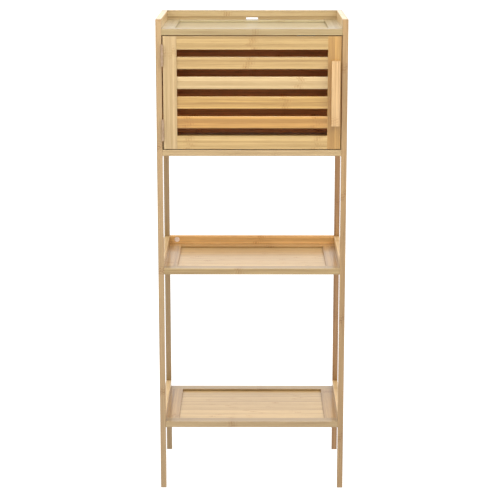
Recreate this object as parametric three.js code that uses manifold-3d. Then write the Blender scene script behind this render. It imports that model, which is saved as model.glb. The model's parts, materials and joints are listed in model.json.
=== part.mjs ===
// A narrow free-standing bamboo storage tower: four square legs carry a top tray with a low gallery,
// a cabinet with one slatted door under it, and two open shelves below.
// Millimetres, +Z up, +X to the right and -Y towards the person in front of it.
// The origin is on the floor, under the middle of the whole object, the door handle counted in.

import * as THREE from "three";
import { mergeVertices } from "three/addons/utils/BufferGeometryUtils.js";
import Module from "manifold-3d";

const wasm = await Module();
wasm.setup();

// ---------------------------------------------------------------- driving dimensions

const WIDTH = 460; // over the legs
const HEIGHT = 1180;
const FRAME_DEPTH = 300; // front of the front legs to the rear of the back legs
const LEG = 14; // square section
const HANDLE_REACH = 18; // how far the handle stands out from the door

const SHELF = {
  thickness: 15,
  rail: 30, // width of the front and rear members
  stile: 32, // width of the side members
  panel: 6,
  recess: 5, // panel top below the frame top
  tongue: 5, // panel edge inside the frame's grooves
};
const SHELVES = [
  { name: "top_tray", side: "gallery_rail", underside: 1142, sideHeight: 38 },
  { name: "cabinet_floor", side: "cabinet_rail", underside: 851, sideHeight: 35 },
  { name: "middle_shelf", side: "middle_rail", underside: 556, sideHeight: 35 },
  { name: "bottom_shelf", side: "bottom_rail", underside: 161, sideHeight: 34, fullDepth: true },
];

const BACK_RAIL = 12; // thickness of the boards between the back legs
const MIDDLE_BACK_RAIL_HEIGHT = 36;
const CABINET_PANEL = 6; // side and back panels of the cabinet
const CABINET_TONGUE = 4;
const STRAP_SLOT = { width: 30, height: 5 }; // level with the tray's top

const DOOR = {
  thickness: 15,
  hingeGap: 3,
  freeGap: 2,
  endGap: 2, // above and below the door
  leftStile: 33,
  rightStile: 32,
  rail: 32,
  slats: 4,
  slatHeight: 30,
  slatThickness: 8,
  slatSetBack: 3,
  slatTenon: 5,
};

const HANDLE = {
  width: 20,
  baseWidth: 15,
  length: 156,
  centreX: 200.5,
  centreZ: 1004,
  cornerRadius: 3,
  hollow: [3, 12], // where the finger hollows start and end, in front of the door
};
const HANDLE_SCREW = {
  radius: 2,
  headRadius: 4,
  headHeight: 2.4,
  spacing: 110,
  bite: 12, // how far it goes into the handle
  recess: { length: 4.4, width: 1.1, depth: 1.5 },
};

const HINGE = {
  length: 50,
  leafDepth: 11.5,
  leafThickness: 1,
  barrelRadius: 3.2,
  boreRadius: 1.18,
  pinRadius: 1.1,
  knuckles: 5,
  knuckleGap: 0.4,
  standOff: 3.2, // barrel axis in front of the leg faces
  screwHoleRadius: 2.1,
  screwSpacing: 30,
  button: { radius: 2.6, height: 1.4 }, // the pin's two ends
};
const HINGE_HEIGHTS = { upper: 1094, lower: 914 };

const CAM = {
  radius: 6.5,
  depth: 9,
  fromLeg: 19,
  belowTop: 10,
  recess: { length: 8.4, width: 2, depth: 2.4 },
};
const CATCH = {
  length: 44,
  depth: 13.5,
  height: 12,
  centreX: 130,
  plate: 1,
  plateLength: 32,
  plateInset: 1, // plate below the top of the door
  window: { length: 26, height: 6, depth: 0.5 }, // in front of the magnet
};

const BOLT_BORE = { radius: 5.2, depth: 3.5, spacing: 180 };
const FIT = 0.3; // clearance round a piece that sits in a groove, mortise or bore
const PROUD = 1; // how far a cutting tool stands out of the face it cuts
const ROUND = 24; // facets of a full circle

// ---------------------------------------------------------------- planes worked out from them

const RIGHT = WIDTH / 2;
const INNER = RIGHT - LEG;
const FRONT = HANDLE_REACH - (FRAME_DEPTH + HANDLE_REACH) / 2;
const BACK = FRONT + FRAME_DEPTH;
const FRONT_LEG_REAR = FRONT + LEG;
const BACK_LEG_FRONT = BACK - LEG;

const shelfAt = Object.fromEntries(SHELVES.map((shelf) => [shelf.name, shelf]));
const topOf = (shelf) => shelf.underside + SHELF.thickness;
const sideTopOf = (shelf) => shelf.underside + shelf.sideHeight;

const CABINET_LOW = sideTopOf(shelfAt.cabinet_floor);
const CABINET_HIGH = shelfAt.top_tray.underside;

const DOOR_X = [-INNER + DOOR.hingeGap, INNER - DOOR.freeGap];
const DOOR_Z = [topOf(shelfAt.cabinet_floor) + DOOR.endGap, CABINET_HIGH - DOOR.endGap];
const DOOR_Y = [FRONT, FRONT + DOOR.thickness];
const HINGE_AXIS = new THREE.Vector3(-INNER + DOOR.hingeGap / 2, FRONT - HINGE.standOff, 0);

// ---------------------------------------------------------------- materials

const finish = (color, roughness, metalness) =>
  new THREE.MeshStandardMaterial({ color, roughness, metalness });

const BAMBOO_LIGHT = finish("#dcbd8c", 0.5, 0);
const BAMBOO_HONEY = finish("#d4ae78", 0.5, 0);
const BAMBOO_LEG = finish("#cda873", 0.52, 0);
const BAMBOO_PLY = finish("#b98f5c", 0.6, 0);
const HINGE_METAL = finish("#b29478", 0.38, 0.9);
const ZINC = finish("#d9cbb8", 0.35, 0.9);
const CATCH_PLASTIC = finish("#efe9df", 0.45, 0);

// ---------------------------------------------------------------- shapes

const grow = ([low, high], by) => [low - by, high + by];
const about = (centre, size) => [centre - size / 2, centre + size / 2];
const mirrored = ([low, high]) => [-high, -low];

function block(x, y, z) {
  const size = [x, y, z].map(([low, high]) => high - low);
  const centre = [x, y, z].map(([low, high]) => (low + high) / 2);
  return new THREE.BoxGeometry(...size).translate(...centre);
}

// A round bar along "x", "y" or "z", centred on a point.
function rod(radius, length, axis, centre) {
  const bar = new THREE.CylinderGeometry(radius, radius, length, ROUND);
  if (axis === "x") bar.rotateZ(Math.PI / 2);
  if (axis === "z") bar.rotateX(Math.PI / 2);
  return bar.translate(...centre);
}

function toSolid(geometry) {
  const bare = geometry.clone();
  bare.deleteAttribute("normal");
  bare.deleteAttribute("uv");
  const merged = mergeVertices(bare, 1e-4);
  return new wasm.Manifold(
    new wasm.Mesh({
      numProp: 3,
      vertProperties: new Float32Array(merged.attributes.position.array),
      triVerts: new Uint32Array(merged.index.array),
    }),
  );
}

function fromSolid(solid) {
  const mesh = solid.getMesh();
  const geometry = new THREE.BufferGeometry();
  geometry.setAttribute("position", new THREE.BufferAttribute(mesh.vertProperties, 3));
  geometry.setIndex(new THREE.BufferAttribute(mesh.triVerts, 1));
  const faceted = geometry.toNonIndexed();
  faceted.computeVertexNormals();
  return faceted;
}

const cut = (geometry, tools) =>
  fromSolid(tools.reduce((solid, tool) => solid.subtract(toSolid(tool)), toSolid(geometry)));

const join = (geometries) =>
  fromSolid(geometries.map(toSolid).reduce((solid, next) => solid.add(next)));

// ---------------------------------------------------------------- assembly

const tower = new THREE.Group();
const frame = new THREE.Group();
const door = new THREE.Group();
door.position.copy(HINGE_AXIS);
tower.add(frame, door);

// Shapes are drawn in the tower's own frame. Each mesh is then placed at the middle of its shape.
function add(group, name, geometry, material) {
  geometry.computeBoundingBox();
  const centre = geometry.boundingBox.getCenter(new THREE.Vector3());
  geometry.translate(-centre.x, -centre.y, -centre.z);
  const mesh = new THREE.Mesh(geometry, material);
  mesh.name = name;
  mesh.position.copy(centre).sub(group.position);
  group.add(mesh);
}

// The left and right copies of a piece that is drawn on the right.
const SIDES = [
  { label: "left", flip: mirrored, sign: -1 },
  { label: "right", flip: (range) => range, sign: 1 },
];

// Ranges of the cabinet panels, tongues included.
const SIDE_PANEL_X = about(RIGHT - LEG / 2, CABINET_PANEL);
const SIDE_PANEL_Y = grow([FRONT_LEG_REAR, BACK_LEG_FRONT], CABINET_TONGUE);
const BACK_PANEL_X = grow([-INNER, INNER], CABINET_TONGUE);
const BACK_PANEL_Y = about(BACK_LEG_FRONT + BACK_RAIL / 2, CABINET_PANEL);
const CABINET_PANEL_Z = grow([CABINET_LOW, CABINET_HIGH], CABINET_TONGUE);

const sidePanelGroove = (flip) =>
  block(grow(flip(SIDE_PANEL_X), FIT), grow(SIDE_PANEL_Y, FIT), grow(CABINET_PANEL_Z, FIT));
const backPanelGroove = () =>
  block(grow(BACK_PANEL_X, FIT), grow(BACK_PANEL_Y, FIT), grow(CABINET_PANEL_Z, FIT));

function addLegs() {
  for (const { label, flip } of SIDES) {
    const x = flip([INNER, RIGHT]);
    const frontLeg = block(x, [FRONT, FRONT_LEG_REAR], [0, HEIGHT]);
    const backLeg = block(x, [BACK_LEG_FRONT, BACK], [0, HEIGHT]);
    add(frame, `leg_front_${label}`, cut(frontLeg, [sidePanelGroove(flip)]), BAMBOO_LEG);
    const grooves = [sidePanelGroove(flip), backPanelGroove()];
    add(frame, `leg_back_${label}`, cut(backLeg, grooves), BAMBOO_LEG);
  }
}

// Side rails run from front leg to back leg, their undersides level with the shelf's.
// Blind bores in their outer faces take the heads of the bolts that hold the shelf.
// The side panels' groove only reaches the rails above and below the cabinet.
function addSideRails() {
  for (const shelf of SHELVES) {
    for (const { label, flip, sign } of SIDES) {
      const z = [shelf.underside, sideTopOf(shelf)];
      const rail = block(flip([INNER, RIGHT]), [FRONT_LEG_REAR, BACK_LEG_FRONT], z);
      const boltZ = shelf.underside + SHELF.thickness / 2;
      const middleY = (FRONT_LEG_REAR + BACK_LEG_FRONT) / 2;
      const bores = about(middleY, BOLT_BORE.spacing).map((y) =>
        rod(BOLT_BORE.radius, 2 * BOLT_BORE.depth, "x", [sign * RIGHT, y, boltZ]),
      );
      add(frame, `${shelf.side}_${label}`, cut(rail, [...bores, sidePanelGroove(flip)]), BAMBOO_LEG);
    }
  }
}

function addShelf({ name, underside, fullDepth }) {
  const rear = fullDepth ? BACK : BACK_LEG_FRONT;
  const z = [underside, underside + SHELF.thickness];
  const panelTop = z[1] - SHELF.recess;
  const panelX = grow([-INNER + SHELF.stile, INNER - SHELF.stile], SHELF.tongue);
  const panelY = grow([FRONT + SHELF.rail, rear - SHELF.rail], SHELF.tongue);
  const panelZ = [panelTop - SHELF.panel, panelTop];
  const groove = () => block(grow(panelX, FIT), grow(panelY, FIT), grow(panelZ, FIT));
  const member = (part, x, y, material) =>
    add(frame, `${name}_${part}`, cut(block(x, y, z), [groove()]), material);

  member("front_rail", [-INNER, INNER], [FRONT, FRONT + SHELF.rail], BAMBOO_HONEY);
  member("rear_rail", [-INNER, INNER], [rear - SHELF.rail, rear], BAMBOO_HONEY);
  for (const { label, flip } of SIDES) {
    const x = flip([INNER - SHELF.stile, INNER]);
    member(`stile_${label}`, x, [FRONT + SHELF.rail, rear - SHELF.rail], BAMBOO_LIGHT);
  }
  add(frame, `${name}_panel`, block(panelX, panelY, panelZ), BAMBOO_LIGHT);
}

function addBackBoards() {
  const x = [-INNER, INNER];
  const y = [BACK_LEG_FRONT, BACK_LEG_FRONT + BACK_RAIL];
  const slotLow = topOf(shelfAt.top_tray);
  const slotZ = [slotLow, slotLow + STRAP_SLOT.height];
  const slot = block(about(0, STRAP_SLOT.width), grow(y, PROUD), slotZ);
  const gallery = block(x, y, [CABINET_HIGH, HEIGHT]);
  add(frame, "gallery_back_board", cut(gallery, [slot, backPanelGroove()]), BAMBOO_HONEY);

  const cabinet = block(x, y, [shelfAt.cabinet_floor.underside, CABINET_LOW]);
  add(frame, "cabinet_back_rail", cut(cabinet, [backPanelGroove()]), BAMBOO_HONEY);

  const low = shelfAt.middle_shelf.underside;
  const high = low + MIDDLE_BACK_RAIL_HEIGHT;
  const camAt = (sign) => [sign * (INNER - CAM.fromLeg), BACK_LEG_FRONT, high - CAM.belowTop];
  const camBore = (sign) => rod(CAM.radius + FIT, 2 * (CAM.depth + FIT), "y", camAt(sign));
  const middle = cut(block(x, y, [low, high]), [camBore(-1), camBore(1)]);
  add(frame, "middle_back_rail", middle, BAMBOO_HONEY);
  for (const { label, sign } of SIDES) add(frame, `cam_lock_${label}`, camLock(camAt(sign)), ZINC);
}

// A cam lock is a short drum with a cross recess in its face.
function camLock([x, faceY, z]) {
  const drum = rod(CAM.radius, CAM.depth, "y", [x, faceY + CAM.depth / 2, z]);
  return cut(drum, crossRecess([x, faceY, z], CAM.recess));
}

// Two crossing grooves in a face that looks along Y, centred on that face.
function crossRecess([x, faceY, z], { length, width, depth }) {
  const y = about(faceY, 2 * depth);
  return [
    block(about(x, length), y, about(z, width)),
    block(about(x, width), y, about(z, length)),
  ];
}

function addCabinetPanels() {
  for (const { label, flip } of SIDES) {
    const panel = block(flip(SIDE_PANEL_X), SIDE_PANEL_Y, CABINET_PANEL_Z);
    add(frame, `cabinet_side_panel_${label}`, panel, BAMBOO_PLY);
  }
  add(frame, "cabinet_back_panel", block(BACK_PANEL_X, BACK_PANEL_Y, CABINET_PANEL_Z), BAMBOO_PLY);
}

function addDoor() {
  const opening = {
    x: [DOOR_X[0] + DOOR.leftStile, DOOR_X[1] - DOOR.rightStile],
    z: [DOOR_Z[0] + DOOR.rail, DOOR_Z[1] - DOOR.rail],
  };
  const slatY = [FRONT + DOOR.slatSetBack, FRONT + DOOR.slatSetBack + DOOR.slatThickness];
  const gap =
    (opening.z[1] - opening.z[0] - DOOR.slats * DOOR.slatHeight) / (DOOR.slats + 1);
  const mortises = [];
  for (let i = 0; i < DOOR.slats; i++) {
    const top = opening.z[1] - gap - i * (DOOR.slatHeight + gap);
    const z = [top - DOOR.slatHeight, top];
    const x = grow(opening.x, DOOR.slatTenon);
    add(door, `door_slat_${i + 1}`, block(x, slatY, z), BAMBOO_HONEY);
    mortises.push(block(grow(x, FIT), grow(slatY, FIT), grow(z, FIT)));
  }

  add(door, "door_rail_top", block(opening.x, DOOR_Y, [opening.z[1], DOOR_Z[1]]), BAMBOO_LIGHT);
  add(door, "door_rail_bottom", block(opening.x, DOOR_Y, [DOOR_Z[0], opening.z[0]]), BAMBOO_LIGHT);
  const leftStile = block([DOOR_X[0], opening.x[0]], DOOR_Y, DOOR_Z);
  add(door, "door_stile_left", cut(leftStile, mortises), BAMBOO_LIGHT);
  const screwHoles = handleScrewHeights().map(handleScrewHole);
  const rightStile = block([opening.x[1], DOOR_X[1]], DOOR_Y, DOOR_Z);
  add(door, "door_stile_right", cut(rightStile, [...mortises, ...screwHoles]), BAMBOO_LIGHT);
}

const handleScrewHeights = () => about(HANDLE.centreZ, HANDLE_SCREW.spacing);

function handleScrewHole(z) {
  const y = [FRONT - HANDLE_SCREW.bite - 2 * FIT, DOOR_Y[1] + PROUD];
  const centre = [HANDLE.centreX, (y[0] + y[1]) / 2, z];
  return rod(HANDLE_SCREW.radius + FIT, y[1] - y[0], "y", centre);
}

// The handle is a solid bar with a finger hollow down each side and rounded front corners.
function addHandle() {
  const half = HANDLE.width / 2;
  const foot = HANDLE.baseWidth / 2;
  const reach = HANDLE_REACH;
  const corner = HANDLE.cornerRadius;
  const [hollowStart, hollowEnd] = HANDLE.hollow;
  const hollowMiddle = (hollowStart + hollowEnd) / 2;
  const outline = new THREE.Shape();
  outline.moveTo(-foot, 0);
  outline.lineTo(foot, 0);
  outline.lineTo(foot, hollowStart);
  outline.quadraticCurveTo(foot, hollowMiddle, half, hollowEnd);
  outline.lineTo(half, reach - corner);
  outline.absarc(half - corner, reach - corner, corner, 0, Math.PI / 2, false);
  outline.lineTo(corner - half, reach);
  outline.absarc(corner - half, reach - corner, corner, Math.PI / 2, Math.PI, false);
  outline.lineTo(-half, hollowEnd);
  outline.quadraticCurveTo(-foot, hollowMiddle, -foot, hollowStart);
  outline.closePath();
  const bar = new THREE.ExtrudeGeometry(outline, {
    depth: HANDLE.length,
    bevelEnabled: false,
    curveSegments: 6,
  });
  bar.rotateZ(Math.PI);
  bar.translate(HANDLE.centreX, FRONT, HANDLE.centreZ - HANDLE.length / 2);
  add(door, "door_handle", cut(bar, handleScrewHeights().map(handleScrewHole)), BAMBOO_LIGHT);

  const [lower, upper] = handleScrewHeights();
  add(door, "handle_screw_upper", handleScrew(upper), ZINC);
  add(door, "handle_screw_lower", handleScrew(lower), ZINC);
}

// A pan head on the rear of the door, its shank through the stile into the handle.
function handleScrew(z) {
  const { radius, headRadius, headHeight, bite, recess } = HANDLE_SCREW;
  const tipY = FRONT - bite;
  const headY = DOOR_Y[1];
  const length = headY - tipY;
  const profile = [
    [0, 0],
    [radius * 0.6, 0],
    [radius, radius * 0.8],
    [radius, length],
    [headRadius, length],
    [headRadius, length + headHeight * 0.5],
    [headRadius * 0.8, length + headHeight * 0.85],
    [headRadius * 0.45, length + headHeight],
    [0, length + headHeight],
  ].map(([r, h]) => new THREE.Vector2(r, h));
  const screw = new THREE.LatheGeometry(profile, ROUND);
  screw.translate(HANDLE.centreX, tipY, z);
  return cut(screw, crossRecess([HANDLE.centreX, headY + headHeight, z], recess));
}

// A butt hinge: two leaves folded in the gap beside the door, interlocking knuckles and a pin.
function addHinge(label, centreZ) {
  const low = centreZ - HINGE.length / 2;
  const pitch = HINGE.length / HINGE.knuckles;
  const leafFront = HINGE_AXIS.y + HINGE.barrelRadius + HINGE.knuckleGap;
  const leafY = [leafFront, leafFront + HINGE.leafDepth];
  const { barrelRadius, boreRadius, leafThickness } = HINGE;

  const leaf = (x, isMine) => {
    const metal = [block(x, leafY, [low, low + HINGE.length])];
    for (let i = 0; i < HINGE.knuckles; i++) {
      if (!isMine(i)) continue;
      const z = grow([low + i * pitch, low + (i + 1) * pitch], -HINGE.knuckleGap / 2);
      const centre = [HINGE_AXIS.x, HINGE_AXIS.y, (z[0] + z[1]) / 2];
      metal.push(rod(barrelRadius, z[1] - z[0], "z", centre));
      const bridgeY = [HINGE_AXIS.y + (barrelRadius + boreRadius) / 2, leafY[1]];
      metal.push(block(x, bridgeY, z));
    }
    const axisCentre = [HINGE_AXIS.x, HINGE_AXIS.y, centreZ];
    const bore = rod(boreRadius, HINGE.length + 2 * PROUD, "z", axisCentre);
    const holes = about(centreZ, HINGE.screwSpacing).map((z) => {
      const holeCentre = [(x[0] + x[1]) / 2, (leafY[0] + leafY[1]) / 2, z];
      return rod(HINGE.screwHoleRadius, leafThickness + 2 * PROUD, "x", holeCentre);
    });
    return cut(join(metal), [bore, ...holes]);
  };
  const frameLeafX = [-INNER, -INNER + leafThickness];
  const doorLeafX = [DOOR_X[0] - leafThickness, DOOR_X[0]];
  add(frame, `hinge_${label}_frame_leaf`, leaf(frameLeafX, (i) => i % 2 === 0), HINGE_METAL);
  add(door, `hinge_${label}_door_leaf`, leaf(doorLeafX, (i) => i % 2 === 1), HINGE_METAL);
  add(frame, `hinge_${label}_pin`, hingePin(centreZ), HINGE_METAL);
}

// The pin has a flat button head under the barrel and another above it.
function hingePin(centreZ) {
  const half = HINGE.length / 2;
  const { button } = HINGE;
  const side = [
    [0, -half - button.height],
    [button.radius * 0.7, -half - button.height],
    [button.radius, -half - button.height * 0.5],
    [button.radius, -half],
    [HINGE.pinRadius, -half],
  ];
  const otherSide = [...side].reverse().map(([r, h]) => [r, -h]);
  const profile = [...side, ...otherSide].map(([r, h]) => new THREE.Vector2(r, h));
  const pin = new THREE.LatheGeometry(profile, ROUND);
  pin.rotateX(Math.PI / 2);
  return pin.translate(HINGE_AXIS.x, HINGE_AXIS.y, centreZ);
}

// A magnetic catch under the top tray, and the steel plate on the door that it holds.
// The housing is also the stop that the inset door closes on.
function addCatch() {
  const plateY = [DOOR_Y[1], DOOR_Y[1] + CATCH.plate];
  const housingFront = plateY[1] + FIT;
  const housingZ = [CABINET_HIGH - CATCH.height, CABINET_HIGH];
  const housing = block(
    about(CATCH.centreX, CATCH.length),
    [housingFront, housingFront + CATCH.depth],
    housingZ,
  );
  const window = block(
    about(CATCH.centreX, CATCH.window.length),
    [housingFront - PROUD, housingFront + CATCH.window.depth],
    about((housingZ[0] + housingZ[1]) / 2, CATCH.window.height),
  );
  add(frame, "catch_housing", cut(housing, [window]), CATCH_PLASTIC);

  const plateZ = [housingZ[0] - CATCH.plateInset, DOOR_Z[1] - CATCH.plateInset];
  const plate = block(about(CATCH.centreX, CATCH.plateLength), plateY, plateZ);
  add(door, "catch_strike_plate", plate, ZINC);
}

addLegs();
addSideRails();
SHELVES.forEach(addShelf);
addBackBoards();
addCabinetPanels();
addDoor();
addHandle();
addHinge("upper", HINGE_HEIGHTS.upper);
addHinge("lower", HINGE_HEIGHTS.lower);
addCatch();

export default tower;
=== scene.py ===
"""The looks of a narrow bamboo storage tower: wood, metal, small fasteners and a plain studio.

All lengths are metres, in the frame of the CAD model: +Z up, -Y towards the front.
"""

import json
import math

import bmesh
import bpy
from mathutils import Matrix, Vector


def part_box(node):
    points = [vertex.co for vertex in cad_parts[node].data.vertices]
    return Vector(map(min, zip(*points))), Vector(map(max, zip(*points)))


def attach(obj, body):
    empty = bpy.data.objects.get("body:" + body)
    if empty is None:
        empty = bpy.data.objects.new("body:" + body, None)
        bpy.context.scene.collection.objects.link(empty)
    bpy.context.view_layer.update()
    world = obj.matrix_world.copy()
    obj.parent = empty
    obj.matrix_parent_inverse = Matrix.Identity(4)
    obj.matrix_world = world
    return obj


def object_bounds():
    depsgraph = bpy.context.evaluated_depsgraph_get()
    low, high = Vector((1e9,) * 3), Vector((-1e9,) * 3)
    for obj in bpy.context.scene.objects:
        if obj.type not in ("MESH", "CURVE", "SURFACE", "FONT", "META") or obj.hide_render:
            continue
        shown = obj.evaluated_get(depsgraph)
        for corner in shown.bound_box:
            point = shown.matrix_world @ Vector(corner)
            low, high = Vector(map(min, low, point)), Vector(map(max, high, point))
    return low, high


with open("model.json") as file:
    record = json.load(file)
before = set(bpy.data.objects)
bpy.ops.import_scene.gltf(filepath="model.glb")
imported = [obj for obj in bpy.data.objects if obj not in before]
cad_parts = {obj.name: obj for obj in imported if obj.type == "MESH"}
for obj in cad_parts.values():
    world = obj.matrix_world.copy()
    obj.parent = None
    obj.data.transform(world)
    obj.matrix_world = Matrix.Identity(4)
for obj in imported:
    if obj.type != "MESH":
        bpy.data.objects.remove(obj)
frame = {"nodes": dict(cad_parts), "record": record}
cad_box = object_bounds()
NODES = frame["nodes"]

MM = 0.001


# ---------------------------------------------------------------- node tree helpers


def add_node(tree, kind, inputs=None, **settings):
    """A shader node. Each input is named or numbered, and takes a value or another node's socket."""
    node = tree.nodes.new(kind)
    for key, value in settings.items():
        setattr(node, key, value)
    for key, value in (inputs or {}).items():
        if isinstance(value, bpy.types.NodeSocket):
            tree.links.new(value, node.inputs[key])
        else:
            node.inputs[key].default_value = value
    return node


def maths(tree, operation, *values):
    node = add_node(tree, "ShaderNodeMath", dict(enumerate(values)), operation=operation)
    return node.outputs[0]


def ramp(tree, value, low, high, out_low=0.0, out_high=1.0):
    """value from low to high becomes out_low to out_high, with a soft start and end."""
    node = add_node(
        tree,
        "ShaderNodeMapRange",
        {"Value": value, "From Min": low, "From Max": high, "To Min": out_low, "To Max": out_high},
        interpolation_type="SMOOTHSTEP",
    )
    return node.outputs["Result"]


def mix_colour(tree, factor, first, second, blend="MIX"):
    node = add_node(tree, "ShaderNodeMix", data_type="RGBA", blend_type=blend)
    for index, value in ((0, factor), (6, first), (7, second)):
        if isinstance(value, bpy.types.NodeSocket):
            tree.links.new(value, node.inputs[index])
        else:
            node.inputs[index].default_value = value
    return node.outputs[2]


def join_axes(tree, x=0.0, y=0.0, z=0.0):
    return add_node(tree, "ShaderNodeCombineXYZ", {0: x, 1: y, 2: z}).outputs[0]


def split_axes(tree, place):
    return add_node(tree, "ShaderNodeSeparateXYZ", {0: place}).outputs


def add_vectors(tree, first, second):
    node = add_node(tree, "ShaderNodeVectorMath", {0: first, 1: second}, operation="ADD")
    return node.outputs[0]


def stretched_noise(tree, place, cells, detail=2.0):
    """Noise that has so many cells a metre along each axis of place."""
    scaled = add_node(tree, "ShaderNodeVectorMath", {0: place, 1: cells}, operation="MULTIPLY")
    noise = add_node(
        tree,
        "ShaderNodeTexNoise",
        {"Vector": scaled.outputs[0], "Scale": 1.0, "Detail": detail, "Roughness": 0.55},
    )
    return noise.outputs["Fac"]


def add_bump(tree, height, strength, distance):
    """Bump on the tree's shader, distance deep for each 1 of height."""
    bump = add_node(
        tree, "ShaderNodeBump", {"Height": height, "Strength": strength, "Distance": distance}
    )
    tree.links.new(bump.outputs[0], tree.nodes["Principled BSDF"].inputs["Normal"])


def new_material(name):
    """(the material, its node tree, its shader, the place on the object that is shaded)"""
    material = bpy.data.materials.new(name)
    material.use_nodes = True
    tree = material.node_tree
    place = add_node(tree, "ShaderNodeTexCoord").outputs["Object"]
    return material, tree, tree.nodes["Principled BSDF"], place


def srgb(red, green, blue):
    """A colour given as 0 to 255 sRGB, as Blender's linear RGBA."""
    linear = [
        c / 12.92 if c <= 0.04045 else ((c + 0.055) / 1.055) ** 2.4
        for c in (red / 255, green / 255, blue / 255)
    ]
    return (*linear, 1.0)


# ---------------------------------------------------------------- bamboo

STRIP_WIDTH = 5.3 * MM  # the strips that a board is glued from
STRIP_DEPTH = 19 * MM
SEAM = 0.3 * MM
STRIP_SHIFT = 3.7  # the most that a strip's fibres are shifted along it

NODE_PITCH = 0.31  # from one knuckle of the cane to the next
NODE_SCATTER = 17 * MM  # how far the knuckles of a slim piece's strips lie apart
NODE_WANDER = 6 * MM
NODE_BOW = 7 * MM
HALO_START = 1 * MM  # the browner stretch on each side of a knuckle
HALO_END = 14 * MM
FIBRE_SWIRL = 0.16  # how far the fibres bend round a knuckle

# A knuckle's lines across the strip: where each is past the knuckle and its half width, both in
# millimetres, and its strength.
DARK_LINES = ((0.0, 2.5, 1.0), (6.6, 2.3, 0.7), (-6.2, 2.3, 0.6), (12.4, 2.2, 0.4))
PALE_LINES = ((3.4, 2.2, 1.0), (-3.2, 2.2, 0.9), (9.6, 2.2, 0.6), (-9.4, 2.6, 0.5))

# Cells of noise in a metre, along the grain, across the strips and through the board.
WANDER_CELLS = (60.0, 420.0, 420.0)
MOTTLE_CELLS = (150.0, 330.0, 330.0)
FIBRE_CELLS = (34.0, 1700.0, 1700.0)
THREAD_CELLS = (9.0, 620.0, 620.0)
BAND_CELLS = (2.2, 210.0, 210.0)
CLOUD_CELLS = (9.0, 30.0, 30.0)

# Factors on a board's mean tone.
LIGHTEST = (1.22, 1.25, 1.34, 1.0)
DARKEST = (0.78, 0.73, 0.62, 1.0)
STREAK_TINT = (0.86, 0.81, 0.73, 1.0)
HALO_TINT = (0.9, 0.84, 0.74, 1.0)
PALE_TINT = (1.14, 1.18, 1.26, 1.0)
KNUCKLE_TINT = (0.7, 0.6, 0.48, 1.0)
SEAM_TINT = (0.84, 0.78, 0.7, 1.0)


def strips(group, axis, size):
    """(which strip a point is in, how far across it from its middle, 1 on the glue line beside it)"""
    across = maths(group, "DIVIDE", axis, size)
    part = maths(group, "SUBTRACT", maths(group, "FRACT", across), 0.5)
    from_middle = maths(group, "ABSOLUTE", part)
    from_edge = maths(group, "MULTIPLY", maths(group, "SUBTRACT", 0.5, from_middle), size)
    return maths(group, "FLOOR", across), part, ramp(group, from_edge, 0.0, SEAM, 1.0, 0.0)


def past_knuckle(group, own, along, across, lie):
    """How far past its nearest knuckle a point is. A knuckle wanders, and bows across its strip."""
    wander = maths(group, "MULTIPLY", stretched_noise(group, own, WANDER_CELLS), NODE_WANDER)
    bow = maths(group, "MULTIPLY", maths(group, "MULTIPLY", across, across), -NODE_BOW)
    along = maths(group, "ADD", maths(group, "ADD", along, wander), maths(group, "ADD", bow, lie))
    pitches = maths(group, "ADD", maths(group, "DIVIDE", along, NODE_PITCH), 0.5)
    part = maths(group, "SUBTRACT", maths(group, "FRACT", pitches), 0.5)
    return maths(group, "MULTIPLY", part, NODE_PITCH)


def knuckle_lines(group, past, clarity, lines):
    """The strongest of a knuckle's soft lines at a point, times clarity."""
    strongest = 0.0
    for offset, half_width, strength in lines:
        away = maths(group, "ABSOLUTE", maths(group, "SUBTRACT", past, offset * MM))
        line = ramp(group, away, 0.25 * half_width * MM, half_width * MM, strength, 0.0)
        strongest = maths(group, "MAXIMUM", strongest, line)
    return maths(group, "MULTIPLY", strongest, clarity)


def lightness(group, strip_tone, noises, contrast):
    """0 where the bamboo is darkest, 0.5 at its mean tone and 1 where it is lightest."""
    spread = maths(group, "MULTIPLY", maths(group, "SUBTRACT", strip_tone, 0.5), 0.8)
    for noise, weight in noises:
        spread = maths(group, "MULTIPLY_ADD", maths(group, "SUBTRACT", noise, 0.5), weight, spread)
    spread = maths(group, "MULTIPLY", spread, contrast)
    return add_node(group, "ShaderNodeClamp", {0: maths(group, "ADD", spread, 0.5)}).outputs[0]


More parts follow.
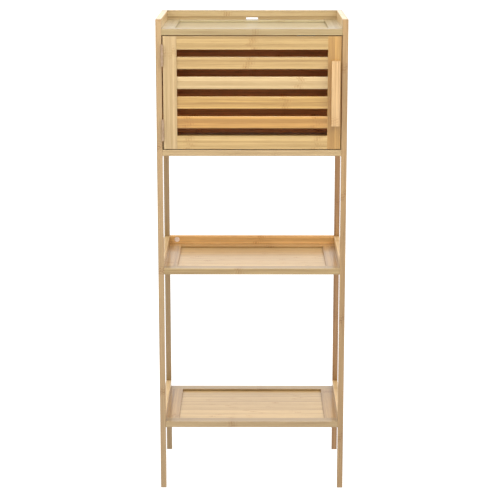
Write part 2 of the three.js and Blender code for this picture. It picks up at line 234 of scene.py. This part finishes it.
def make_bamboo_group():
    """Laminated bamboo. Grain runs along X of its vector, strips are side by side along Y and Z."""
    group = bpy.data.node_groups.new("bamboo", "ShaderNodeTree")
    inputs = (("Grain", "Vector"), ("Tone", "Color"), ("Contrast", "Float"), ("Scatter", "Float"))
    outputs = (("Color", "Color"), ("Roughness", "Float"), ("Height", "Float"))
    for name, kind in inputs:
        group.interface.new_socket(name, in_out="INPUT", socket_type=f"NodeSocket{kind}")
    for name, kind in outputs:
        group.interface.new_socket(name, in_out="OUTPUT", socket_type=f"NodeSocket{kind}")
    given = group.nodes.new("NodeGroupInput").outputs
    grain = given["Grain"]
    along, aside, through = split_axes(group, grain)[:3]
    column, across, column_seam = strips(group, aside, STRIP_WIDTH)
    layer, _, layer_seam = strips(group, through, STRIP_DEPTH)
    chance = add_node(
        group, "ShaderNodeTexWhiteNoise", {"Vector": join_axes(group, column, layer)}
    ).outputs
    strip_tone, scatter, shift = add_node(
        group, "ShaderNodeSeparateColor", {0: chance["Color"]}
    ).outputs[:3]

    # Each strip has its own stretch of cane, so its fibres don't run on into the next.
    shift = join_axes(group, maths(group, "MULTIPLY", shift, STRIP_SHIFT))
    own = add_vectors(group, grain, shift)
    lie = maths(group, "MULTIPLY", maths(group, "SUBTRACT", scatter, 0.5), given["Scatter"])
    past = past_knuckle(group, own, along, across, lie)
    shown = ramp(group, chance["Value"], 0.1, 0.9, 0.25, 1.0)
    mottle = ramp(group, stretched_noise(group, own, MOTTLE_CELLS), 0.36, 0.6, 0.2, 1.0)
    clarity = maths(group, "MULTIPLY", shown, mottle)
    knuckle = knuckle_lines(group, past, clarity, DARK_LINES)
    pale = knuckle_lines(group, past, clarity, PALE_LINES)
    away = maths(group, "ABSOLUTE", past)
    halo = maths(group, "MULTIPLY", ramp(group, away, HALO_START, HALO_END, 1.0, 0.0), shown)

    # Fibres bend round a knuckle.
    swirl = maths(group, "MULTIPLY", maths(group, "MULTIPLY", halo, past), FIBRE_SWIRL)
    bent = add_vectors(group, own, join_axes(group, 0.0, swirl, swirl))
    fibres = stretched_noise(group, bent, FIBRE_CELLS)
    threads = stretched_noise(group, bent, THREAD_CELLS)
    bands = stretched_noise(group, bent, BAND_CELLS)
    cloud = stretched_noise(group, own, CLOUD_CELLS)
    noises = ((threads, 1.3), (bands, 1.6), (cloud, 0.5))
    light = lightness(group, strip_tone, noises, given["Contrast"])
    streak = ramp(group, fibres, 0.5, 0.7)
    seam = maths(group, "MAXIMUM", column_seam, maths(group, "MULTIPLY", layer_seam, 0.6))

    darkest = mix_colour(group, 1.0, given["Tone"], DARKEST, "MULTIPLY")
    lightest = mix_colour(group, 1.0, given["Tone"], LIGHTEST, "MULTIPLY")
    colour = mix_colour(group, light, darkest, lightest)
    for factor, tint in (
        (streak, STREAK_TINT),
        (halo, HALO_TINT),
        (pale, PALE_TINT),
        (knuckle, KNUCKLE_TINT),
        (seam, SEAM_TINT),
    ):
        colour = mix_colour(group, factor, colour, tint, "MULTIPLY")
    roughness = maths(group, "MULTIPLY_ADD", fibres, 0.2, 0.36)
    roughness = maths(group, "MULTIPLY_ADD", halo, 0.06, roughness)
    height = fibres
    for mark, weight in ((streak, -0.5), (seam, -0.8), (knuckle, 0.6)):
        height = maths(group, "MULTIPLY_ADD", mark, weight, height)
    results = group.nodes.new("NodeGroupOutput").inputs
    for name, value in (("Color", colour), ("Roughness", roughness), ("Height", height)):
        group.links.new(value, results[name])
    return group


BAMBOO = make_bamboo_group()

# Which of the object's axes lie along the grain, across the strips and through the board.
GRAIN_AXES = {
    "x_flat": ("X", "Y", "Z"),  # shelf boards: strips side by side from front to back
    "x_face": ("X", "Z", "Y"),  # rails and slats seen from the front
    "y_flat": ("Y", "X", "Z"),  # shelf side members
    "y_face": ("Y", "Z", "X"),  # side rails
    "z_face": ("Z", "X", "Y"),  # legs, door stiles and handle
}

# Mean tones, as sRGB, and how far the strips and streaks differ. The first name that fits is used. A
# few tones also carry painted light or painted shade, as noted beside them.
TONES = (
    ("door_slat_1", (158, 128, 76), 1.1),
    ("door_slat_2", (174, 148, 102), 0.7),
    ("door_slat_3", (165, 129, 67), 1.4),
    ("door_slat_4", (170, 126, 58), 1.3),
    ("door_stile_left", (169, 143, 99), 0.8),
    ("door_stile_right", (165, 126, 63), 1.1),
    ("door_handle", (186, 152, 105), 0.9),
    ("door_rail_bottom", (175, 145, 90), 1.0),
    ("door_", (158, 129, 77), 1.0),
    ("leg_front_left", (148, 120, 79), 1.1),
    ("leg_front_right", (145, 114, 70), 1.3),
    ("leg_back_left", (152, 125, 82), 1.1),
    ("leg_back_right", (160, 119, 70), 1.2),
    # Painted light: this rail is made lighter than the wood is, for light that falls short of it under
    # the cabinet.
    ("middle_back_rail", (221, 175, 109), 1.1),
    ("gallery_back_board", (160, 136, 92), 1.0),
    ("gallery_rail_", (208, 178, 132), 0.9),
    ("middle_rail_", (210, 180, 130), 0.9),
    ("bottom_rail_", (212, 182, 134), 0.9),
    ("cabinet_rail_", (190, 160, 114), 0.9),
    # Painted shade: this front rail is made darker than the wood is, as it stands in shade below the
    # lit top.
    ("top_tray_front_rail", (142, 121, 79), 0.9),
    ("top_tray_", (156, 141, 103), 0.7),
    ("middle_shelf_rear_rail", (176, 138, 84), 1.0),
    ("middle_shelf_front_rail", (153, 127, 81), 1.0),
    ("bottom_shelf_front_rail", (153, 127, 85), 1.0),
    ("cabinet_floor_front_rail", (168, 142, 99), 0.9),
    # Painted light: the cabinet floor is made lighter than the other panels, to brighten the dark
    # inside seen through the door.
    ("cabinet_floor_panel", (226, 194, 146), 0.8),
    ("_panel", (184, 152, 98), 0.8),
    ("_stile_", (160, 126, 74), 0.9),
    ("", (166, 138, 92), 1.0),
)

# The tone of the cabinet's faces that look inwards, in the dark behind the door, is painted light:
# redder and more saturated than the wood outside, standing in for light bounced round inside the closed
# box, and darker on the side panels as painted shade where lamp light would come in through the gap
# beside the door.
PAINTED_INSIDE_TONES = {
    "cabinet_back_panel": (226, 142, 80),
    "cabinet_back_rail": (226, 142, 80),
    "cabinet_side_panel_left": (180, 116, 70),
    "cabinet_side_panel_right": (180, 116, 70),
}


def tone_of(node):
    return next((tone, contrast) for part, tone, contrast in TONES if part in node)


# Where a piece's knuckles lie along it, if that isn't left to chance.
NODE_PLACES = {
    "door_rail_top": 0.004,
    "door_slat_1": -0.008,
    "door_slat_2": 0.118,
    "door_slat_3": 0.082,
    "door_slat_4": -0.152,
    "door_rail_bottom": -0.150,
    "door_handle": 1.25,
}


def inner_side(tree, axes, node):
    """1 on the half of a cabinet piece that faces inwards, 0 on the half that faces out. It masks where
    the painted inside tone goes.
    """
    low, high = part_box(node)
    middle = (low + high) / 2
    if "_side_" in node:
        return maths(tree, "LESS_THAN", maths(tree, "ABSOLUTE", axes["X"]), abs(middle.x))
    return maths(tree, "LESS_THAN", axes["Y"], middle.y)


# Each piece is cut this much further along, across and through the board than the last one, and
# begins again after CUT_RANGES.
CUT_STEPS = (0.1183, 0.0137, 0.0071)
CUT_RANGES = (NODE_PITCH, 0.3, 0.2)


def bamboo_material(name, node, slot, grain, seed):
    """Lacquered bamboo for a CAD node, cut from its own stretch of board."""
    material, tree, shader, place = new_material(name)
    axes = split_axes(tree, place)
    cut = [seed * step % reach for step, reach in zip(CUT_STEPS, CUT_RANGES)]
    if node in NODE_PLACES:
        cut[0] = -NODE_PLACES[node]
    tone, contrast = tone_of(node)
    bamboo = add_node(tree, "ShaderNodeGroup", node_tree=BAMBOO)
    along_grain = join_axes(tree, *(axes[axis] for axis in GRAIN_AXES[grain]))
    tree.links.new(add_vectors(tree, along_grain, cut), bamboo.inputs["Grain"])
    bamboo.inputs["Tone"].default_value = srgb(*tone)
    # The inward half takes the painted inside tone: painted bounce light, and painted shade on the side
    # panels.
    if node in PAINTED_INSIDE_TONES:
        inside = inner_side(tree, axes, node)
        tone_with_painted_inside = mix_colour(tree, inside, srgb(*tone), srgb(*PAINTED_INSIDE_TONES[node]))
        tree.links.new(tone_with_painted_inside, bamboo.inputs["Tone"])
    bamboo.inputs["Contrast"].default_value = contrast
    # The many strips of a wide board have their knuckles anywhere.
    bamboo.inputs["Scatter"].default_value = NODE_PITCH if "_panel" in node else NODE_SCATTER
    tree.links.new(bamboo.outputs["Color"], shader.inputs["Base Color"])
    tree.links.new(bamboo.outputs["Roughness"], shader.inputs["Roughness"])
    add_bump(tree, bamboo.outputs["Height"], 0.3, 0.1 * MM)
    if slot == "bamboo_inside":
        shader.inputs["Specular IOR Level"].default_value = 0.2
    else:
        shader.inputs["Coat Weight"].default_value = 0.7
        shader.inputs["Coat Roughness"].default_value = 0.16
    return material


def grain_of(name):
    """Which way the bamboo runs in a CAD node, from the node's name."""
    if name.startswith(("leg_", "door_stile", "door_handle")):
        return "z_face"
    if "_stile_" in name:
        return "y_flat"
    if name in ("cabinet_side_panel_left", "cabinet_side_panel_right"):
        return "y_face"
    if name.endswith(("_front_rail", "_rear_rail")):
        return "x_flat"
    if name.endswith(("rail_left", "rail_right")):
        return "y_face"
    if name.endswith("_panel") and name != "cabinet_back_panel":
        return "x_flat"
    return "x_face"


# ---------------------------------------------------------------- metals and plastic


def metal_material(name, colour, roughness, brush_cells, metallic=1.0):
    """Plated metal with a fine brushed or tumbled surface."""
    material, tree, shader, place = new_material(name)
    brushed = stretched_noise(tree, place, brush_cells)
    stain = stretched_noise(tree, place, (160.0, 160.0, 160.0), 3.0)
    dull = mix_colour(tree, 1.0, srgb(*colour), srgb(226, 220, 212), "MULTIPLY")
    stained = mix_colour(tree, ramp(tree, stain, 0.35, 0.8), srgb(*colour), dull)
    tree.links.new(stained, shader.inputs["Base Color"])
    rough = maths(tree, "MULTIPLY_ADD", brushed, 0.14, roughness - 0.07)
    tree.links.new(rough, shader.inputs["Roughness"])
    add_bump(tree, brushed, 0.1, 0.03 * MM)
    shader.inputs["Metallic"].default_value = metallic
    return material


def plastic_material(name, colour):
    """Moulded plastic with a faint grained skin."""
    material, tree, shader, place = new_material(name)
    skin = stretched_noise(tree, place, (1400.0, 1400.0, 1400.0))
    cloud = stretched_noise(tree, place, (60.0, 60.0, 60.0))
    shade = mix_colour(tree, 1.0, srgb(*colour), srgb(240, 238, 232), "MULTIPLY")
    tree.links.new(mix_colour(tree, cloud, srgb(*colour), shade), shader.inputs["Base Color"])
    tree.links.new(maths(tree, "MULTIPLY_ADD", skin, 0.15, 0.4), shader.inputs["Roughness"])
    add_bump(tree, skin, 0.25, 0.05 * MM)
    return material


HINGE_METAL = metal_material("hinge_metal", (186, 160, 134), 0.4, (900.0, 900.0, 40.0))
ZINC = metal_material("zinc", (228, 222, 212), 0.32, (700.0, 700.0, 700.0))
CATCH_PLASTIC = plastic_material("catch_plastic", (236, 232, 224))
CAM_ZINC = metal_material("cam_zinc", (255, 240, 228), 0.45, (500.0, 500.0, 500.0), 0.1)
BOLT_STEEL = metal_material("bolt_steel", (196, 190, 182), 0.34, (700.0, 700.0, 700.0))
HARDWARE = {"hinge_metal": HINGE_METAL, "zinc": ZINC, "catch_plastic": CATCH_PLASTIC}


# ---------------------------------------------------------------- finish on the CAD nodes


def ease_edges(obj, width):
    """Rounds an object's sharp edges and keeps its broad faces flat."""
    weld = obj.modifiers.new("weld", "WELD")
    weld.merge_threshold = 0.01 * MM
    flatten = obj.modifiers.new("flatten", "DECIMATE")
    flatten.decimate_type = "DISSOLVE"
    flatten.angle_limit = math.radians(0.5)
    bevel = obj.modifiers.new("ease", "BEVEL")
    bevel.width = width
    bevel.segments = 3
    bevel.limit_method = "ANGLE"
    bevel.angle_limit = math.radians(35)
    bevel.loop_slide = False
    normals = obj.modifiers.new("normals", "WEIGHTED_NORMAL")
    normals.keep_sharp = False
    obj.data.shade_smooth()


# How far each kind of edge is rounded over. Flush joints keep a fine edge.
EASED = {
    "bamboo_door": 0.45 * MM,
    "bamboo_slat": 2.0 * MM,
    "bamboo_frame": 0.6 * MM,
    "bamboo_leg": 1.1 * MM,
    "bamboo_panel": 0.4 * MM,
    "bamboo_inside": 0.4 * MM,
    "hinge_metal": 0.2 * MM,
    "zinc": 0.25 * MM,
    "catch_plastic": 0.5 * MM,
}
HANDLE_EASED = 1.2 * MM


def finish_cad_nodes():
    """Gives each CAD node its material and eased edges."""
    slots = {part["node"]: part["material_slot"] for part in frame["record"]["subparts"]}
    for seed, (name, obj) in enumerate(sorted(NODES.items())):
        slot = slots[name]
        material = CAM_ZINC if name.startswith("cam_lock") else HARDWARE.get(slot)
        if material is None:
            material = bamboo_material(f"bamboo_{name}", name, slot, grain_of(name), seed + 1)
        ease_edges(obj, HANDLE_EASED if name == "door_handle" else EASED[slot])
        obj.data.materials.clear()
        obj.data.materials.append(material)


# ---------------------------------------------------------------- small fasteners

TINY = 1e-6  # keeps a division from being by zero


# The outlines: each gives the distance out from the centre at an angle, in millimetres.


def circle(radius):
    return lambda angle: radius


def hexagon(half_flats):
    """A hexagon that is half_flats from its centre to each of its sides."""
    sixth = math.pi / 3
    return lambda angle: half_flats / math.cos(angle % sixth - sixth / 2)


def rectangle(half_width, half_height):
    def outline(angle):
        along, aside = abs(math.cos(angle)), abs(math.sin(angle))
        return min(half_width / max(along, TINY), half_height / max(aside, TINY))

    return outline


def cross(reach, half_width):
    def outline(angle):
        along, aside = abs(math.cos(angle)), abs(math.sin(angle))
        if along < aside:
            along, aside = aside, along
        return min(reach / along, half_width / max(aside, TINY))

    return outline


RING_SIDES = 72


def ring(mesh, outline, height):
    """One ring of a piece's corners, in order round it."""
    corners = []
    for i in range(RING_SIDES):
        angle = 2 * math.pi * i / RING_SIDES
        radius = outline(angle)
        point = Vector((radius * math.cos(angle), radius * math.sin(angle), height))
        corners.append(mesh.verts.new(point * MM))
    return corners


def add_fastener(name, place, direction, rings, material, body):
    """A closed piece that stands on place along direction. Rings give (outline, height), base first."""
    mesh = bmesh.new()
    loops = [ring(mesh, outline, height) for outline, height in rings]
    for lower, upper in zip(loops, loops[1:]):
        for i in range(RING_SIDES):
            j = (i + 1) % RING_SIDES
            mesh.faces.new((lower[i], lower[j], upper[j], upper[i]))
    mesh.faces.new(reversed(loops[0]))
    mesh.faces.new(loops[-1])
    turn = Vector(direction).to_track_quat("Z", "Y").to_matrix().to_4x4()
    mesh.transform(Matrix.Translation(place) @ turn)
    data = bpy.data.meshes.new(name)
    mesh.to_mesh(data)
    mesh.free()
    data.materials.append(material)
    data.shade_smooth()
    piece = bpy.data.objects.new(name, data)
    bpy.context.scene.collection.objects.link(piece)
    edges = piece.modifiers.new("edges", "EDGE_SPLIT")
    edges.split_angle = math.radians(40)
    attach(piece, body)


# The rings of each kind of fastener, outlines and heights in millimetres.
BOLT = [
    (circle(4.3), 0.0),
    (circle(4.7), 0.25),
    (circle(4.85), 0.6),
    (circle(4.85), 1.9),
    (circle(4.65), 2.35),
    (circle(4.2), 2.65),
    (circle(3.5), 2.75),
    (hexagon(2.15), 2.75),
    (hexagon(2.0), 2.6),
    (hexagon(2.0), 0.9),
    (circle(0.9), 0.5),
]
FLAT_SCREW = [
    (circle(1.5), 0.1),
    (circle(1.95), 0.6),
    (circle(2.0), 0.75),
    (circle(1.9), 0.86),
    (cross(1.25, 0.34), 0.86),
    (cross(1.1, 0.24), 0.35),
    (circle(0.22), 0.2),
]
PAN_SCREW = [
    (circle(2.6), 0.0),
    (circle(2.75), 0.35),
    (circle(2.6), 0.8),
    (circle(2.1), 1.2),
    (circle(1.75), 1.32),
    (cross(1.45, 0.4), 1.32),
    (cross(1.25, 0.28), 0.6),
    (circle(0.25), 0.4),
]
PLATE_SCREW = [
    (circle(1.9), 0.0),
    (circle(1.85), 0.1),
    (circle(1.6), 0.18),
    (cross(1.2, 0.32), 0.18),
    (cross(1.1, 0.26), 0.03),
    (circle(0.24), 0.02),
]
MAGNET_PLATE = [
    (rectangle(12.6, 2.6), 0.0),
    (rectangle(12.6, 2.6), 0.25),
    (rectangle(12.35, 2.35), 0.36),
]
COVER_CAP = [
    (circle(7.4), 0.0),
    (circle(7.4), 0.25),
    (circle(7.1), 0.5),
    (circle(6.3), 0.68),
    (circle(3.0), 0.78),
]

BOLT_SPACING = 180 * MM
BOLT_SEAT_DEPTH = 3.4 * MM  # from the rail's face in to the seat of the head
HINGE_SCREW_SPACING = 30 * MM
HINGE_LEAF_DEPTH = 11.5 * MM
CATCH_SCREW_INSET = 4.5 * MM
CATCH_WINDOW_DEPTH = 0.5 * MM

# Each pair of side rails and the shelf that its bolts go into.
BOLTED = (
    ("gallery", "top_tray"),
    ("cabinet", "cabinet_floor"),
    ("middle", "middle_shelf"),
    ("bottom", "bottom_shelf"),
)


def add_bolts():
    """A socket bolt in each bore of the side rails."""
    for kind, shelf in BOLTED:
        low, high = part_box(f"{shelf}_front_rail")
        for side, sign in (("left", -1), ("right", 1)):
            rail_low, rail_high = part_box(f"{kind}_rail_{side}")
            outer = rail_high.x if sign > 0 else rail_low.x
            middle = (rail_low.y + rail_high.y) / 2
            for end, step in (("front", -BOLT_SPACING / 2), ("rear", BOLT_SPACING / 2)):
                x = outer - sign * BOLT_SEAT_DEPTH
                place = Vector((x, middle + step, (low.z + high.z) / 2))
                name = f"bolt_{kind}_{side}_{end}"
                add_fastener(name, place, (sign, 0, 0), BOLT, BOLT_STEEL, "frame")


def add_hinge_screws():
    """Two countersunk screws in each hinge leaf."""
    for height in ("upper", "lower"):
        for leaf, body, sign in (("frame_leaf", "frame", 1), ("door_leaf", "door", -1)):
            low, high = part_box(f"hinge_{height}_{leaf}")
            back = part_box("leg_front_left")[1].x if sign > 0 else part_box("door_stile_left")[0].x
            for end, step in (("top", HINGE_SCREW_SPACING / 2), ("bottom", -HINGE_SCREW_SPACING / 2)):
                z = (low.z + high.z) / 2 + step
                place = Vector((back, high.y - HINGE_LEAF_DEPTH / 2, z))
                name = f"hinge_screw_{height}_{leaf}_{end}"
                out = (sign, 0, 0)
                add_fastener(name, place, out, FLAT_SCREW, HINGE_METAL, body)


def add_cover_cap():
    """A thin cap over the right cam lock, in the colour of the wood, with the painted light of the
    middle back rail.
    """
    low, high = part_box("cam_lock_right")
    rail = "middle_back_rail"
    place = Vector(((low.x + high.x) / 2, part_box(rail)[0].y, (low.z + high.z) / 2))
    seed = 1 + sorted(NODES).index(rail)
    material = bamboo_material("cover_cap", rail, "bamboo_frame", grain_of(rail), seed)
    add_fastener("cam_cover_cap", place, (0, -1, 0), COVER_CAP, material, "frame")


def add_catch_details():
    """The catch's two screws and its magnet plate, and the strike plate's two screws."""
    low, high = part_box("catch_housing")
    for side, x in (("left", low.x + CATCH_SCREW_INSET), ("right", high.x - CATCH_SCREW_INSET)):
        place = Vector((x, (low.y + high.y) / 2, low.z))
        add_fastener(f"catch_screw_{side}", place, (0, 0, -1), PAN_SCREW, ZINC, "frame")
    window = Vector(((low.x + high.x) / 2, low.y + CATCH_WINDOW_DEPTH, (low.z + high.z) / 2))
    add_fastener("catch_magnet_plate", window, (0, -1, 0), MAGNET_PLATE, ZINC, "frame")
    low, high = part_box("catch_strike_plate")
    for side, x in (("left", low.x + CATCH_SCREW_INSET), ("right", high.x - CATCH_SCREW_INSET)):
        place = Vector((x, high.y, (low.z + high.z) / 2))
        add_fastener(f"strike_screw_{side}", place, (0, 1, 0), PLATE_SCREW, ZINC, "door")


# ---------------------------------------------------------------- studio

CAMERA_PLACE = Vector((0.004, -3.986, 1.484))
CAMERA_PITCH = 12.64  # degrees below level
CAMERA_YAW = 0.18  # degrees
CAMERA_LENS = 116.4  # millimetres
CAMERA_SENSOR = 36.0  # millimetres

# The lamps: name, place, what it is aimed at, width in metres and power in watts.
DOOR_FRONT = (0.0, cad_box[0].y, 1.0)
LAMPS = (
    ("key", (1.0, -0.9, 1.75), DOOR_FRONT, 0.6, 9.0),
    ("fill", (-1.0, -0.9, 1.75), DOOR_FRONT, 0.6, 8.0),
    ("front", (0.0, -1.65, 1.85), DOOR_FRONT, 0.5, 6.3),
    ("top", (0.0, -0.7, 2.3), (0.0, 0.0, 0.9), 0.8, 11.0),
)

WORLD_STRENGTH = 1.0
OVERHEAD_EXTRA = 0.55
FRONT_EXTRA = -0.6
FLOOR_HALF = 60.0
FLOOR_GREY = 0.28
FLOOR_GLOW = 0.95


def make_camera():
    data = bpy.data.cameras.new("camera")
    data.lens = CAMERA_LENS
    data.sensor_width = CAMERA_SENSOR
    camera = bpy.data.objects.new("camera", data)
    camera.location = CAMERA_PLACE
    camera.rotation_euler = (math.radians(90 - CAMERA_PITCH), 0.0, math.radians(CAMERA_YAW))
    bpy.context.scene.collection.objects.link(camera)
    bpy.context.scene.camera = camera


def make_world():
    """White round the horizon, brighter overhead and dimmer in front of the object."""
    world = bpy.data.worlds.new("studio")
    world.use_nodes = True
    tree = world.node_tree
    direction = add_node(tree, "ShaderNodeTexCoord").outputs["Generated"]
    axes = split_axes(tree, direction)
    overhead = ramp(tree, axes["Z"], 0.25, 0.9, 0.0, OVERHEAD_EXTRA)
    front = ramp(tree, axes["Y"], -0.9, -0.2, FRONT_EXTRA, 0.0)
    strength = maths(tree, "ADD", maths(tree, "ADD", overhead, front), WORLD_STRENGTH)
    background = tree.nodes["Background"]
    background.inputs["Color"].default_value = (1.0, 1.0, 1.0, 1.0)
    tree.links.new(strength, background.inputs["Strength"])
    bpy.context.scene.world = world


def add_lamp(name, place, target, size, power):
    data = bpy.data.lights.new(name, "AREA")
    data.shape = "DISK"
    data.size = size
    data.energy = power
    lamp = bpy.data.objects.new(name, data)
    lamp.location = place
    lamp.rotation_euler = (Vector(target) - Vector(place)).to_track_quat("-Z", "Y").to_euler()
    bpy.context.scene.collection.objects.link(lamp)


def add_floor():
    """A pale floor, lit from within as a light table is, so the object stands on plain white."""
    mesh = bpy.data.meshes.new("floor")
    z = cad_box[0].z
    corners = [(x * FLOOR_HALF, y * FLOOR_HALF, z) for x, y in ((-1, -1), (1, -1), (1, 1), (-1, 1))]
    mesh.from_pydata(corners, [], [(0, 1, 2, 3)])
    floor = bpy.data.objects.new("floor", mesh)
    material = bpy.data.materials.new("floor")
    material.use_nodes = True
    shader = material.node_tree.nodes["Principled BSDF"]
    shader.inputs["Base Color"].default_value = (FLOOR_GREY, FLOOR_GREY, FLOOR_GREY, 1.0)
    shader.inputs["Specular IOR Level"].default_value = 0.0
    shader.inputs["Emission Color"].default_value = (1.0, 1.0, 1.0, 1.0)
    shader.inputs["Emission Strength"].default_value = FLOOR_GLOW
    mesh.materials.append(material)
    bpy.context.scene.collection.objects.link(floor)


def make_studio():
    make_world()
    for lamp in LAMPS:
        add_lamp(*lamp)
    add_floor()
    bpy.context.scene.view_settings.view_transform = "Standard"


make_camera()
make_studio()
finish_cad_nodes()
add_bolts()
add_hinge_screws()
add_cover_cap()
add_catch_details()
